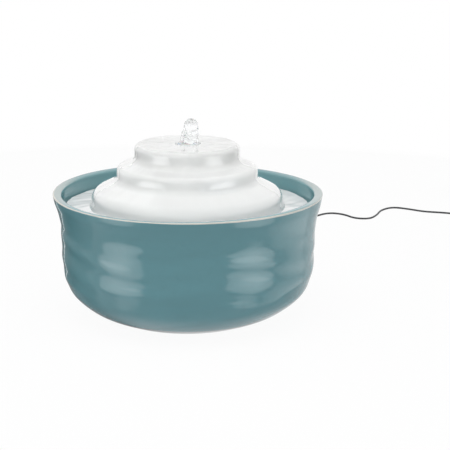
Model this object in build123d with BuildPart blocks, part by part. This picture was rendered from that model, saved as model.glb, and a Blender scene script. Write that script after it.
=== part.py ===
"""Ceramic pet water fountain: a thrown bowl, a tiered dome and a small submersible pump.

Millimetres, +Z up.  The origin is the centre of the base, on the surface that the
fountain stands on.  The lead leaves over the back of the rim, on the +Y side.
"""

from math import cos, pi, radians, sin, tan
import os

from build123d import *

# ---------------------------------------------------------------- driving dimensions
# Bowl
foot_lift = 0.8  # the rubber pads hold the foot ring this far off the table
foot_radius = 67.0
foot_inner_radius = 57.0
foot_recess = 3.0
pad_radius = 4.5
wall_start_z = 50.0
wall_end_z = 104.0
wall_radius = 126.0
wall_lean = 0.035
ripple_height = 0.6
ripple_pitch = 24.0
ripple_crest_z = 63.0
lip_radius = 134.4
lip_inner_radius = 126.0
lip_z = 128.6
lip_edge_z = 127.2
floor_z = 9.0
floor_radius = 62.0
reservoir_radius = 118.2
ledge_z = 104.3
seat_radius = 123.4

# Dome
dome_wall = 5.0
dome_top_z = 175.2
nozzle_radius = 7.5
tier_1_radius = 51.5
tier_2_radius = 69.3
tier_2_z = 158.3
tier_3_radius = 95.4
tier_3_z = 139.6
brim_radius = 122.6
brim_z = 110.5
notch_width = 9.0
notch_inner_radius = 107.0
drain_radius = 110.0
drain_width = 3.6
drain_arc = 16.0
drain_middles = (-112, -68, 68, 112)

# Water
jet_top_z = 202.0
jet_crown_radius = 2.4
jet_crown_lean = 4.6
splash_radius = 12.5
splash_depth = 1.2

# Pump, on a shaft along Y
shaft_x = -15.85
shaft_z = 38.0
shaft_radius = 1.25
running_gap = 0.05
casing_radius = 21.5
casing_front_y = 4.4
casing_back_y = 41.0
casing_wall = 2.0
well_radius = 7.6
well_wall = 0.9
well_end_y = 24.5
bush_radius = 3.0
bush_end_y = 28.5
gland_neck_radius = 4.0
gland_neck_length = 5.0
gland_flange_radius = 5.0
gland_tip_radius = 2.0
gland_boot_length = 17.0
cup_spacing_x = 30.0
cup_front_y = 12.0
cup_back_y = 34.0
plate_z = 15.0
plate_thickness = 2.6
plate_margin = 12.0
peg_hole_radius = 2.0
rib_width = 1.6
rib_depth = 2.6
seal_outer = 20.8
seal_inner = 19.6
seal_depth = 1.0

# Pump chamber
chamber_front_y = -3.6
chamber_wall = 1.8
spiral_start = 12.0
spiral_growth = 7.1
outlet_width = 6.3
outlet_height = 24.0
spigot_radius = 4.7
spigot_bore = 3.2
spigot_length = 12.0
eye_radius = 5.6
collar_radius = 19.5
collar_depth = 4.0

bush_cup_radius = 3.4
bush_cup_bore = 2.4
bush_cup_depth = 3.0
spider_arm_width = 1.4

# Rotor
magnet_radius = 7.0
magnet_front_y = 5.0
magnet_back_y = 22.0
sleeve_radius = 2.5
blade_count = 6
blade_thickness = 1.0
impeller_radius = 11.0
washer_thickness = 0.5
washer_fit = 0.02

# Stator
tooth_count = 6
tooth_width = 4.0
stator_bore = 8.7
yoke_inner = 16.0
yoke_outer = 19.3
stator_front_y = 9.0
stator_back_y = 22.0
shoe_thickness = 1.4
shoe_gap = 2.4
winding_depth = 2.0
winding_width = 8.2
winding_height = 4.4
board_thickness = 1.2

# Strainer cap and filters
cap_front_y = -24.0
cap_back_y = -5.6
cap_wall = 1.8
slot_count = 12
slot_length = 10.0
slot_width = 2.6
window_radius = 10.0
window_width = 4.5
regulator_radius = 14.5
regulator_thickness = 1.6
pivot_radius = 2.5
snap_head_radius = 3.4
snap_head_depth = 1.2
sponge_thickness = 6.0
carbon_thickness = 3.5

# Riser tube
riser_radius = 6.2
riser_top_z = 174.6

# Lead
lead_radius = 1.2
lead_fit = 0.02  # all-round clearance where the lead runs through rubber
lead_z = 118.7
rim_face_y = 137.0
sleeve_rise = 7.0  # from the lead up to the top of its rubber sleeve in the notch
table_gap = 0.1

# Coil of the put-away lead, and the adapter beside it
coil_centre = (392.0, 438.0)
coil_inner = 6.6
coil_outer = 19.4
coil_middle = (coil_inner + coil_outer) / 2
coil_height = 7.6
adapter_centre = (398.0, 556.0)
adapter_width = 38.0
adapter_length = 56.0
adapter_height = 30.0
relief_length = 22.0
relief_root_radius = 3.6
nose_length = 9.0
nose_width = 35.3
nose_height = 13.7
pin_radius = 2.0
pin_length = 19.0
pin_spacing = 18.6

os.makedirs("parts", exist_ok=True)
pieces = []


def keep(builder, name):
    """Label a finished piece and write it to its own file."""
    builder.part.label = name
    export_step(builder.part, f"parts/{name}.step")
    pieces.append(builder.part)


# ---------------------------------------------------------------- planes and axes
shaft_axis = Axis((shaft_x, 0, shaft_z), (0, 1, 0))
# Local x runs along the shaft and local y is the radius.
shaft_section = Plane(origin=(shaft_x, 0, shaft_z), x_dir=(0, 1, 0), z_dir=(1, 0, 0))


def across_shaft(y):
    """Plane across the shaft at a height y along it, facing the intake (-Y)."""
    return Plane(origin=(shaft_x, y, shaft_z), x_dir=(1, 0, 0), z_dir=(0, -1, 0))


def facing_back(x, y, z):
    """Plane that faces +Y, with its local y up."""
    return Plane(origin=(x, y, z), x_dir=(-1, 0, 0), z_dir=(0, 1, 0))


# ---------------------------------------------------------------- bowl
def rippled_radius(z):
    """Radius of the bowl's wall: a slight lean outward with the thrower's ripples."""
    ripple = ripple_height * cos(2 * pi * (z - ripple_crest_z) / ripple_pitch)
    return wall_radius + wall_lean * (z - wall_start_z) + ripple


ripple_heights = range(int(wall_start_z), int(wall_end_z), 6)
outer_points = [(foot_radius, 1.3), (79.0, 5.5), (99.3, 14.5), (116.1, 28), (122.7, 40)]
outer_points += [(rippled_radius(z), z) for z in ripple_heights]
outer_points += [(129.2, 106), (131.0, 113), (133.1, 120), (lip_radius, lip_edge_z)]
inner_points = [(floor_radius, floor_z), (82, 11.5), (98.5, 21), (111, 36)]
inner_points += [(117, 54), (reservoir_radius, 72)]

with BuildPart() as bowl:
    with BuildSketch(Plane.XZ):
        with BuildLine():
            foot = Polyline(
                (0, foot_lift + foot_recess),
                (foot_inner_radius, foot_lift + foot_recess),
                (foot_inner_radius, foot_lift),
                (foot_radius - 2, foot_lift),
                outer_points[0],
            )
            outside = Spline(outer_points)
            lip_top = ((lip_radius + lip_inner_radius) / 2, lip_z)
            lip = ThreePointArc(outside @ 1, lip_top, (lip_inner_radius, lip_edge_z))
            seat = Polyline(
                lip @ 1,
                (seat_radius, ledge_z),
                (reservoir_radius, ledge_z),
                inner_points[-1],
            )
            inside = Spline(list(reversed(inner_points)))
            Polyline(inside @ 1, (0, floor_z), foot @ 0)
        make_face()
    revolve(axis=Axis.Z)
    # Half-round notch in the back of the rim for the lead.
    with BuildSketch(facing_back(0, seat_radius - 5, lead_z)):
        Circle(notch_width / 2 - 0.5)
        with Locations((0, notch_width)):
            Rectangle(notch_width - 1, 2 * notch_width)
    extrude(amount=20, mode=Mode.SUBTRACT)
keep(bowl, "bowl")

pad_ring_radius = (foot_radius + foot_inner_radius) / 2
with BuildPart() as foot_pads:
    with PolarLocations(pad_ring_radius, 4, start_angle=45):
        Cylinder(pad_radius, foot_lift, align=(Align.CENTER, Align.CENTER, Align.MIN))
keep(foot_pads, "foot_pads")

# ---------------------------------------------------------------- dome
# Corners of the tiers from the hole outward, each with the radius that rounds it.
dome_corners = [
    (nozzle_radius, dome_top_z, 0),
    (tier_1_radius, dome_top_z, 5),
    (tier_1_radius - 0.5, tier_2_z, 9.5),
    (tier_2_radius, tier_2_z - 5.1, 6),
    (tier_2_radius + 1, tier_3_z, 8),
    (tier_3_radius, tier_3_z - 11.8, 7),
    (tier_3_radius, brim_z, 3),
    (brim_radius, brim_z, 0),
]
dome_outline = [(r, z) for r, z, _ in dome_corners]
dome_rounding = [rounding for _, _, rounding in dome_corners[1:-1]]

with BuildPart() as dome:
    with BuildSketch(Plane.XZ):
        with BuildLine():
            FilletPolyline(dome_outline, radius=dome_rounding)
            offset(amount=dome_wall, side=Side.RIGHT)
        make_face()
    revolve(axis=Axis.Z)
    # The brim is thicker than the shell, down to the ledge that carries it.
    with BuildSketch(Plane.XY.offset(ledge_z)):
        Circle(brim_radius)
        Circle(tier_3_radius - dome_wall, mode=Mode.SUBTRACT)
    extrude(amount=brim_z - dome_wall - ledge_z)
    with BuildSketch(Plane.XY.offset(ledge_z)):
        # Notch at the back that clears the lead, open outward.
        with Locations((0, notch_inner_radius + notch_width / 2)):
            Circle(notch_width / 2)
        with Locations((0, brim_radius)):
            Rectangle(notch_width, 2 * (brim_radius - notch_inner_radius) - notch_width)
        # Drain slots at the front and back of the trough.
        for middle in drain_middles:
            first = middle - drain_arc / 2
            slot = CenterArc((0, 0), drain_radius, first, drain_arc, mode=Mode.PRIVATE)
            SlotArc(slot, drain_width)
    extrude(amount=2 * dome_wall, mode=Mode.SUBTRACT)
keep(dome, "dome")

with BuildPart() as nozzle_grommet:
    with BuildSketch(Plane.XZ):
        ceramic_bottom_z = dome_top_z - dome_wall
        bore = riser_radius + 0.3
        Polygon(
            (bore, ceramic_bottom_z - 1.6),
            (nozzle_radius + 2.5, ceramic_bottom_z - 1.6),
            (nozzle_radius + 2.5, ceramic_bottom_z),
            (nozzle_radius, ceramic_bottom_z),
            (nozzle_radius, dome_top_z),
            (nozzle_radius + 1.5, dome_top_z),
            (bore + 0.4, dome_top_z + 0.7),
            (bore, dome_top_z + 0.7),
            align=None,
        )
    revolve(axis=Axis.Z)
keep(nozzle_grommet, "nozzle_grommet")

# The jet as a plain closed form: (height above its base, radius, lean to +X).
jet_rings = [(0, 8.6, 1.0), (5, 7.4, 1.6), (12, 6.7, 2.6), (18, 7.6, 3.6), (23, 6.4, 4.2)]
jet_base_z = dome_top_z + 0.7
with BuildPart() as water_jet:
    with BuildSketch(Plane.XY.offset(jet_base_z)):
        Circle(splash_radius)
    extrude(amount=splash_depth)
    for height, radius, lean in jet_rings:
        with BuildSketch(Plane.XY.offset(jet_base_z + height)):
            with Locations((lean, 0)):
                Circle(radius)
    with BuildSketch(Plane.XY.offset(jet_top_z)):
        with Locations((jet_crown_lean, 0)):
            Circle(jet_crown_radius)
    loft()
keep(water_jet, "water_jet")

# ---------------------------------------------------------------- riser tube
spigot_base_z = shaft_z + outlet_height
with BuildPart() as riser_tube:
    with BuildSketch(Plane.XY.offset(spigot_base_z)):
        Circle(riser_radius)
        Circle(spigot_radius, mode=Mode.SUBTRACT)
    extrude(amount=riser_top_z - spigot_base_z)
keep(riser_tube, "riser_tube")

# ---------------------------------------------------------------- pump casing
with BuildPart() as pump_housing:
    with BuildSketch(shaft_section):
        Polygon(
            (casing_front_y, well_radius),
            (casing_front_y, casing_radius),
            (casing_back_y, casing_radius),
            (casing_back_y, casing_radius - casing_wall),
            (casing_front_y + casing_wall, casing_radius - casing_wall),
            (casing_front_y + casing_wall, well_radius + well_wall),
            (well_end_y + well_wall, well_radius + well_wall),
            (well_end_y + well_wall, bush_radius + well_wall),
            (bush_end_y + well_wall, bush_radius + well_wall),
            (bush_end_y + well_wall, 0),
            (bush_end_y, 0),
            (bush_end_y, bush_radius),
            (well_end_y, bush_radius),
            (well_end_y, well_radius),
            align=None,
        )
    revolve(axis=shaft_axis)
    # Groove for the seal in the front face.
    with BuildSketch(across_shaft(casing_front_y + seal_depth)):
        Circle(seal_outer)
        Circle(seal_inner, mode=Mode.SUBTRACT)
    extrude(amount=seal_depth, mode=Mode.SUBTRACT)
    # Foot plate on two webs, with a hole for the peg of each suction cup.
    plate_middle_y = (cup_front_y + cup_back_y) / 2
    plate_length = cup_back_y - cup_front_y + plate_margin
    with BuildSketch(Plane.XY.offset(plate_z)):
        with Locations((shaft_x, plate_middle_y)):
            RectangleRounded(cup_spacing_x + plate_margin, plate_length, 5)
    extrude(amount=plate_thickness)
    with BuildSketch(Plane.XY.offset(plate_z)):
        with Locations((shaft_x, plate_middle_y)):
            with GridLocations(cup_spacing_x, cup_back_y - cup_front_y, 2, 2):
                Circle(peg_hole_radius)
    extrude(amount=plate_thickness, mode=Mode.SUBTRACT)
    # Grip ribs round the casing's upper half.
    for rib_angle in range(20, 161, 20):
        rib_plane = Plane(
            origin=(
                shaft_x + (casing_radius - 0.5) * cos(radians(rib_angle)),
                casing_front_y + 5,
                shaft_z + (casing_radius - 0.5) * sin(radians(rib_angle)),
            ),
            x_dir=(-sin(radians(rib_angle)), 0, cos(radians(rib_angle))),
            z_dir=(0, 1, 0),
        )
        with BuildSketch(rib_plane):
            Rectangle(rib_width, rib_depth)
        extrude(amount=casing_back_y - casing_front_y - 8)
keep(pump_housing, "pump_housing")

with BuildPart() as potting:
    with BuildSketch(across_shaft(casing_back_y - 1)):
        Circle(casing_radius - casing_wall)
        Circle(gland_neck_radius, mode=Mode.SUBTRACT)
    extrude(amount=gland_neck_length)
keep(potting, "potting")

with BuildPart() as suction_cups:
    cup_rows = (cup_front_y, cup_back_y)
    cup_columns = (shaft_x - cup_spacing_x / 2, shaft_x + cup_spacing_x / 2)
    for cup_x, cup_y in [(x, y) for x in cup_columns for y in cup_rows]:
        cup_plane = Plane(origin=(cup_x, cup_y, floor_z), x_dir=(1, 0, 0), z_dir=(0, -1, 0))
        with BuildSketch(cup_plane):
            with BuildLine():
                skirt = ThreePointArc((9.0, 0), (6.5, 2.8), (3.2, 4.4))
                Polyline(
                    skirt @ 1,
                    (3.2, plate_z - floor_z),
                    (1.9, plate_z - floor_z),
                    (1.9, plate_z - floor_z + plate_thickness),
                    (2.8, plate_z - floor_z + plate_thickness),
                    (1.6, plate_z - floor_z + plate_thickness + 2),
                    (0, plate_z - floor_z + plate_thickness + 2),
                    (0, 2.6),
                )
                hollow = ThreePointArc((0, 2.6), (4.5, 1.8), (8.2, 0))
                Line(hollow @ 1, skirt @ 0)
            make_face()
        revolve(axis=Axis((cup_x, cup_y, 0), (0, 0, 1)))
keep(suction_cups, "suction_cups")

# ---------------------------------------------------------------- pump chamber
def spiral_point(turn_degrees):
    """Point of the spiral wall, which widens steadily round to the outlet."""
    reach = spiral_start + spiral_growth * turn_degrees / 360
    return (reach * cos(radians(turn_degrees)), reach * sin(radians(turn_degrees)))


outlet_outer = spiral_start + spiral_growth
outlet_middle = outlet_outer - outlet_width / 2
with BuildSketch(Plane.XY) as chamber_shape:
    with BuildLine():
        spiral = Spline([spiral_point(step) for step in range(0, 361, 20)])
        Line(spiral @ 1, spiral @ 0)
    make_face()
    with Locations((outlet_middle, outlet_height / 4)):
        Rectangle(outlet_width, outlet_height / 2)

with BuildPart() as volute_cover:
    body_back_y = casing_front_y
    body_front_y = chamber_front_y - chamber_wall
    body_length = body_back_y - body_front_y
    with BuildSketch(across_shaft(body_back_y)):
        Circle(casing_radius)
        with Locations((outlet_middle, outlet_height / 2)):
            Rectangle(outlet_width + 2 * chamber_wall, outlet_height)
    extrude(amount=body_length)
    with BuildSketch(across_shaft(body_front_y)):
        Circle(collar_radius)
        Circle(collar_radius - chamber_wall, mode=Mode.SUBTRACT)
    extrude(amount=collar_depth)
    with BuildSketch(Plane.XY.offset(shaft_z + outlet_height)):
        Circle(spigot_radius)
    extrude(amount=spigot_length)
    # The spiral chamber and its outlet passage, which narrows into the spigot.
    with BuildSketch(across_shaft(body_back_y)):
        add(chamber_shape.sketch)
    extrude(amount=body_back_y - chamber_front_y, mode=Mode.SUBTRACT)
    with BuildSketch(Plane.XY.offset(shaft_z + outlet_height / 2 - 1)):
        Circle(spigot_bore)
    extrude(amount=outlet_height + spigot_length, mode=Mode.SUBTRACT)
    with BuildSketch(across_shaft(chamber_front_y)):
        Circle(eye_radius)
    extrude(amount=chamber_wall, mode=Mode.SUBTRACT)
    # Three-armed spider in the intake eye, with the cup for the front bush.
    with BuildSketch(across_shaft(chamber_front_y)):
        with PolarLocations(eye_radius / 2 + 0.4, 3, start_angle=30):
            Rectangle(eye_radius, spider_arm_width)
        Circle(bush_cup_radius)
    extrude(amount=chamber_wall)
    with BuildSketch(across_shaft(body_front_y)):
        Circle(bush_cup_radius)
    extrude(amount=bush_cup_depth + 1)
    with BuildSketch(across_shaft(chamber_front_y)):
        Circle(bush_cup_bore)
    extrude(amount=chamber_wall + bush_cup_depth, mode=Mode.SUBTRACT)
keep(volute_cover, "volute_cover")

with BuildPart() as volute_seal:
    with BuildSketch(across_shaft(casing_front_y + seal_depth)):
        Circle(seal_outer)
        Circle(seal_inner, mode=Mode.SUBTRACT)
    extrude(amount=seal_depth)
keep(volute_seal, "volute_seal")

# ---------------------------------------------------------------- shaft and its seats
front_bush_y = chamber_front_y - chamber_wall - bush_cup_depth
with BuildPart() as front_bush:
    with BuildSketch(shaft_section):
        Polygon(
            (front_bush_y, 0),
            (front_bush_y, bush_cup_bore),
            (chamber_front_y, bush_cup_bore),
            (chamber_front_y, shaft_radius),
            (front_bush_y + 1, shaft_radius),
            (front_bush_y + 1, 0),
            align=None,
        )
    revolve(axis=shaft_axis)
keep(front_bush, "front_bush")

rear_bush_y = well_end_y - 0.6
with BuildPart() as rear_bush:
    with BuildSketch(shaft_section):
        Polygon(
            (bush_end_y, 0),
            (bush_end_y, bush_radius),
            (rear_bush_y, bush_radius),
            (rear_bush_y, shaft_radius),
            (bush_end_y - 1, shaft_radius),
            (bush_end_y - 1, 0),
            align=None,
        )
    revolve(axis=shaft_axis)
keep(rear_bush, "rear_bush")

with BuildPart() as impeller_shaft:
    with BuildSketch(across_shaft(bush_end_y - 1)):
        Circle(shaft_radius)
    extrude(amount=bush_end_y - 1 - (front_bush_y + 1))
keep(impeller_shaft, "impeller_shaft")

with BuildPart() as thrust_washers:
    for washer_y in (chamber_front_y + washer_thickness, rear_bush_y):
        with BuildSketch(across_shaft(washer_y)):
            Circle(sleeve_radius)
            Circle(shaft_radius + washer_fit, mode=Mode.SUBTRACT)
        extrude(amount=washer_thickness)
keep(thrust_washers, "thrust_washers")

# ---------------------------------------------------------------- impeller and magnet
backplate_back_y = 3.8
blade_back_y = 2.6
blade_front_y = -2.4
sleeve_front_y = blade_front_y - 0.3
sleeve_back_y = well_end_y - 1.4
# One blade, which curves back against the turn.
with BuildSketch(Plane.XY) as blade_shape:
    with BuildLine():
        camber = ThreePointArc((2.9, 0), (7.0, -1.3), (9.5, -4.2))
        offset(camber, amount=blade_thickness / 2, side=Side.BOTH)
    make_face()

with BuildPart() as impeller:
    with BuildSketch(shaft_section):
        Polygon(
            (sleeve_front_y, shaft_radius + running_gap),
            (sleeve_front_y, 3.2),
            (blade_back_y, 3.6),
            (blade_back_y, impeller_radius),
            (backplate_back_y, impeller_radius),
            (backplate_back_y, 5.0),
            (magnet_front_y, 5.0),
            (magnet_front_y, sleeve_radius),
            (sleeve_back_y, sleeve_radius),
            (sleeve_back_y, shaft_radius + running_gap),
            align=None,
        )
    revolve(axis=shaft_axis)
    with BuildSketch(across_shaft(blade_back_y)):
        with PolarLocations(0, blade_count):
            add(blade_shape.sketch)
    extrude(amount=blade_back_y - blade_front_y)
keep(impeller, "impeller")

with BuildPart() as rotor_magnet:
    with BuildSketch(across_shaft(magnet_back_y)):
        Circle(magnet_radius)
        Circle(sleeve_radius, mode=Mode.SUBTRACT)
    extrude(amount=magnet_back_y - magnet_front_y)
keep(rotor_magnet, "rotor_magnet")

# ---------------------------------------------------------------- stator and board
stator_length = stator_back_y - stator_front_y
with BuildPart() as stator_core:
    with BuildSketch(across_shaft(stator_back_y)):
        Circle(yoke_outer)
        Circle(yoke_inner, mode=Mode.SUBTRACT)
        # Pole shoes: a ring round the bore, slit between the teeth.
        Circle(stator_bore + shoe_thickness)
        with PolarLocations(stator_bore, tooth_count, start_angle=180 / tooth_count):
            Rectangle(6, shoe_gap, mode=Mode.SUBTRACT)
        with PolarLocations((stator_bore + yoke_inner) / 2 + 0.3, tooth_count):
            Rectangle(yoke_inner - stator_bore + shoe_thickness, tooth_width)
        Circle(stator_bore, mode=Mode.SUBTRACT)
    extrude(amount=stator_length)
keep(stator_core, "stator_core")

with BuildPart() as stator_windings:
    for turn in range(tooth_count):
        angle = radians(turn * 360 / tooth_count)
        outward = Vector(cos(angle), 0, sin(angle))
        centre = Vector(shaft_x, (stator_front_y + stator_back_y) / 2, shaft_z)
        winding_plane = Plane(
            origin=centre + outward * (stator_bore + shoe_thickness + 0.7), x_dir=(0, 1, 0), z_dir=outward
        )
        with BuildSketch(winding_plane):
            RectangleRounded(stator_length + 2 * winding_depth, winding_width, 1.8)
            Rectangle(stator_length, tooth_width, mode=Mode.SUBTRACT)
        extrude(amount=winding_height)
keep(stator_windings, "stator_windings")

board_front_y = bush_end_y + well_wall + 0.6
with BuildPart() as circuit_board:
    with BuildSketch(across_shaft(board_front_y + board_thickness)):
        Circle(casing_radius - casing_wall - 0.3)
    extrude(amount=board_thickness)
    # Two flat chips in front; a capacitor and a choke behind.
    with BuildSketch(across_shaft(board_front_y)):
        with Locations((9, 6)):
            Rectangle(5, 4)
        with Locations((-8, -9)):
            Rectangle(4, 3)
    extrude(amount=1.4)
    with BuildSketch(across_shaft(board_front_y + 4.6)):
        with Locations((-9, 7)):
            Circle(3.2)
        with Locations((10, -6)):
            Rectangle(6, 4)
    extrude(amount=3.4)
keep(circuit_board, "circuit_board")

# ---------------------------------------------------------------- strainer and filters
cap_inner = collar_radius + 0.2
window_arc = CenterArc((0, 0), window_radius, -10, 20)
with BuildPart() as intake_cover:
    with BuildSketch(across_shaft(cap_back_y)):
        Circle(casing_radius)
    extrude(amount=cap_back_y - cap_front_y)
    fillet(intake_cover.edges().group_by(Axis.Y)[0], 2.5)
    with BuildSketch(across_shaft(cap_back_y)):
        Circle(cap_inner)
    extrude(amount=cap_back_y - cap_front_y - cap_wall, mode=Mode.SUBTRACT)
    # Slots round the side, and four windows and the pivot hole in the front.
    for step in range(slot_count):
        angle = radians((step + 0.5) * 360 / slot_count)
        outward = Vector(cos(angle), 0, sin(angle))
        middle = Vector(shaft_x, (cap_front_y + cap_back_y) / 2 - 1, shaft_z)
        slot_plane = Plane(
            origin=middle + outward * (cap_inner - 3), x_dir=(0, 1, 0), z_dir=outward
        )
        with BuildSketch(slot_plane):
            SlotOverall(slot_length, slot_width)
        extrude(amount=8, mode=Mode.SUBTRACT)
    with BuildSketch(across_shaft(cap_front_y + cap_wall)):
        with PolarLocations(0, 4, start_angle=45):
            SlotArc(window_arc, window_width)
        Circle(pivot_radius)
    extrude(amount=cap_wall, mode=Mode.SUBTRACT)
keep(intake_cover, "intake_cover")

with BuildPart() as flow_regulator:
    disc_back_y = cap_front_y - 0.2
    with BuildSketch(across_shaft(disc_back_y)):
        Circle(regulator_radius)
        with PolarLocations(0, 4, start_angle=45):
            SlotArc(window_arc, window_width, mode=Mode.SUBTRACT)
    extrude(amount=regulator_thickness)
    # Finger bar across the disc.
    with BuildSketch(across_shaft(disc_back_y - regulator_thickness)):
        SlotOverall(24, 3)
    extrude(amount=3)
    # Pivot through the cap with a snap head inside.
    snap_head_back_y = cap_front_y + cap_wall + snap_head_depth + 0.2
    with BuildSketch(across_shaft(snap_head_back_y)):
        Circle(pivot_radius - 2 * running_gap)
    extrude(amount=snap_head_back_y - disc_back_y)
    with BuildSketch(across_shaft(snap_head_back_y)):
        Circle(snap_head_radius)
    extrude(amount=snap_head_depth)
keep(flow_regulator, "flow_regulator")

sponge_front_y = cap_front_y + cap_wall + 1.8
sponge_back_y = sponge_front_y + sponge_thickness
with BuildPart() as filter_sponge:
    with BuildSketch(across_shaft(sponge_back_y)):
        Circle(cap_inner)
    extrude(amount=sponge_thickness)
keep(filter_sponge, "filter_sponge")

with BuildPart() as carbon_pad:
    with BuildSketch(across_shaft(sponge_back_y + carbon_thickness)):
        Circle(cap_inner)
    extrude(amount=carbon_thickness)
keep(carbon_pad, "carbon_pad")

# ---------------------------------------------------------------- lead inside the bowl
gland_end_y = casing_back_y + gland_boot_length
with BuildPart() as cable_gland:
    with BuildSketch(shaft_section):
        Polygon(
            (casing_back_y - 6, lead_radius),
            (casing_back_y - 6, gland_neck_radius),
            (casing_back_y - 1, gland_neck_radius),
            (casing_back_y - 1, gland_flange_radius),
            (casing_back_y + 2, gland_flange_radius),
            (casing_back_y + 4, gland_flange_radius - 1.6),
            (gland_end_y, gland_tip_radius),
            (gland_end_y, lead_radius),
            align=None,
        )
    revolve(axis=shaft_axis)
keep(cable_gland, "cable_gland")


def bend_radii(points):
    """Largest easy bend at each corner: 0.45 of the shorter run over tan(half the turn)."""
    corners = [Vector(*point) for point in points]
    radii = []
    for before, here, after in zip(corners, corners[1:], corners[2:]):
        half_turn = radians((here - before).get_angle(after - here)) / 2
        shorter = min((here - before).length, (after - here).length)
        radii.append(0.45 * shorter / tan(half_turn))
    return radii


def lead_tube(name, points):
    """Round lead along straight runs joined by tangent arcs."""
    radii = bend_radii(points)
    with BuildPart() as tube:
        with BuildLine() as path:
            FilletPolyline(points, radius=radii)
        start = Vector(*points[0])
        with BuildSketch(Plane(origin=start, z_dir=Vector(*points[1]) - start)):
            Circle(lead_radius)
        sweep(path=path.wire())
    length = path.wire().length
    share = tube.part.volume / (pi * lead_radius**2 * length)
    print(name, "length", round(length, 1), "volume over section times length", round(share, 4))
    print(name, "bend radii", [round(radius, 1) for radius in radii])
    keep(tube, name)
    return tube


inner_route = [
    (shaft_x, casing_back_y - 6, shaft_z),
    (shaft_x, gland_end_y + 12, shaft_z),
    (shaft_x + 6, gland_end_y + 33, 30),
    (shaft_x + 13, 108, 40),
    (0, 112, 66),
    (0.4, 112.3, 92),
    (0, 112, lead_z),
    (0, rim_face_y, lead_z),
]
pump_lead = lead_tube("pump_lead", inner_route)

# Rubber sleeve in the rim's notch, flanged inside and outside, with the lead through it.
with BuildPart() as cord_grommet:
    with BuildSketch(facing_back(0, seat_radius - 0.1, lead_z)):
        Circle(notch_width / 2 - 0.5)
        with Locations((0, sleeve_rise / 2)):
            Rectangle(notch_width - 1, sleeve_rise)
    extrude(amount=rim_face_y - seat_radius + 0.1)
    for flange_y, flange_depth in ((seat_radius - 0.1, 1.4), (lip_radius - 0.4, 1.6)):
        with BuildSketch(facing_back(0, flange_y, lead_z)):
            Circle(notch_width / 2 + 0.6)
        extrude(amount=flange_depth)
    add(bowl.part, mode=Mode.SUBTRACT)
    with BuildSketch(facing_back(0, seat_radius - 2, lead_z)):
        Circle(lead_radius + lead_fit)
    extrude(amount=20, mode=Mode.SUBTRACT)
keep(cord_grommet, "cord_grommet")

# ---------------------------------------------------------------- free lead
table_z = lead_radius + table_gap
# Down the back of the bowl, round behind it and away over the table to the right.
free_route = [
    (0, rim_face_y, lead_z),
    (0, 148, lead_z),
    (0.5, 160, 110),
    (1, 167, 93),
    (2, 171, 69),
    (3, 175, 43),
    (6, 183, 21),
    (13, 197, 6),
    (27, 217, table_z),
    (45, 243, table_z),
    (68, 272, table_z),
    (86, 308, table_z),
    (104, 342, table_z),
    (130, 362, table_z),
    (152, 384, table_z),
    (167, 411, table_z),
    (187, 430, table_z),
    (206, 421, table_z),
    (217, 399, table_z),
    (237, 396, table_z),
    (249, 418, table_z),
    (257, 444, table_z),
    (275, 462, table_z),
    (295, 451, table_z),
    (313, 436, table_z),
    (335, 431, table_z),
    (354, 423, table_z),
    (372, 419, table_z),
    (384, coil_centre[1] - coil_middle - 5, table_z),
]
power_cord = lead_tube("power_cord", free_route)

with BuildPart() as cord_coil:
    with BuildSketch(Plane.XY):
        with Locations(coil_centre):
            Circle(coil_outer)
            Circle(coil_inner, mode=Mode.SUBTRACT)
    extrude(amount=coil_height)
keep(cord_coil, "cord_coil")

# ---------------------------------------------------------------- mains adapter
adapter_x, adapter_y = adapter_centre
adapter_front_y = adapter_y - adapter_length / 2
adapter_back_y = adapter_y + adapter_length / 2
relief_z = adapter_height / 2
relief_tip_y = adapter_front_y - relief_length

tail_route = [
    (coil_centre[0] + coil_middle + 4.4, coil_centre[1] + 4, table_z),
    (coil_centre[0] + coil_middle + 4.6, coil_centre[1] + 22, table_z),
    (adapter_x + 11, relief_tip_y - 36, 2.0),
    (adapter_x + 4, relief_tip_y - 21, 10.0),
    (adapter_x, relief_tip_y - 6, relief_z),
    (adapter_x, relief_tip_y + 6, relief_z),
]
cord_tail = lead_tube("cord_tail", tail_route)

with BuildPart() as adapter_relief:
    with BuildSketch(Plane(origin=(adapter_x, 0, relief_z), x_dir=(0, 1, 0), z_dir=(1, 0, 0))):
        Polygon(
            (relief_tip_y, lead_radius + lead_fit),
            (relief_tip_y, lead_radius + 0.7),
            (adapter_front_y, relief_root_radius),
            (adapter_front_y, 0),
            (relief_tip_y + 6, 0),
            (relief_tip_y + 6, lead_radius + lead_fit),
            align=None,
        )
    revolve(axis=Axis((adapter_x, 0, relief_z), (0, 1, 0)))
keep(adapter_relief, "adapter_relief")


def adapter_half(base_z, height, rounded_side):
    """Half of the adapter's case, with its long edges and one face rounded."""
    with BuildPart() as half:
        with BuildSketch(Plane.XY.offset(base_z)):
            with Locations(adapter_centre):
                RectangleRounded(adapter_width, adapter_length, 6)
        extrude(amount=height)
        fillet(half.edges().group_by(Axis.Z)[rounded_side], 3)
    return half


keep(adapter_half(0, adapter_height / 2, 0), "adapter_base")
keep(adapter_half(adapter_height / 2, adapter_height / 2, -1), "adapter_case")

with BuildPart() as adapter_nose:
    with BuildSketch(facing_back(adapter_x, adapter_back_y, relief_z)):
        SlotOverall(nose_width, nose_height)
    extrude(amount=nose_length, taper=2)
keep(adapter_nose, "adapter_nose")

with BuildPart() as adapter_pins:
    with BuildSketch(facing_back(adapter_x, adapter_back_y + nose_length, relief_z)):
        with GridLocations(pin_spacing, 1, 2, 1):
            Circle(pin_radius)
    extrude(amount=pin_length)
    fillet(adapter_pins.edges().group_by(Axis.Y)[-1], 1.4)
keep(adapter_pins, "adapter_pins")

print(len(pieces), "pieces")
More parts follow.
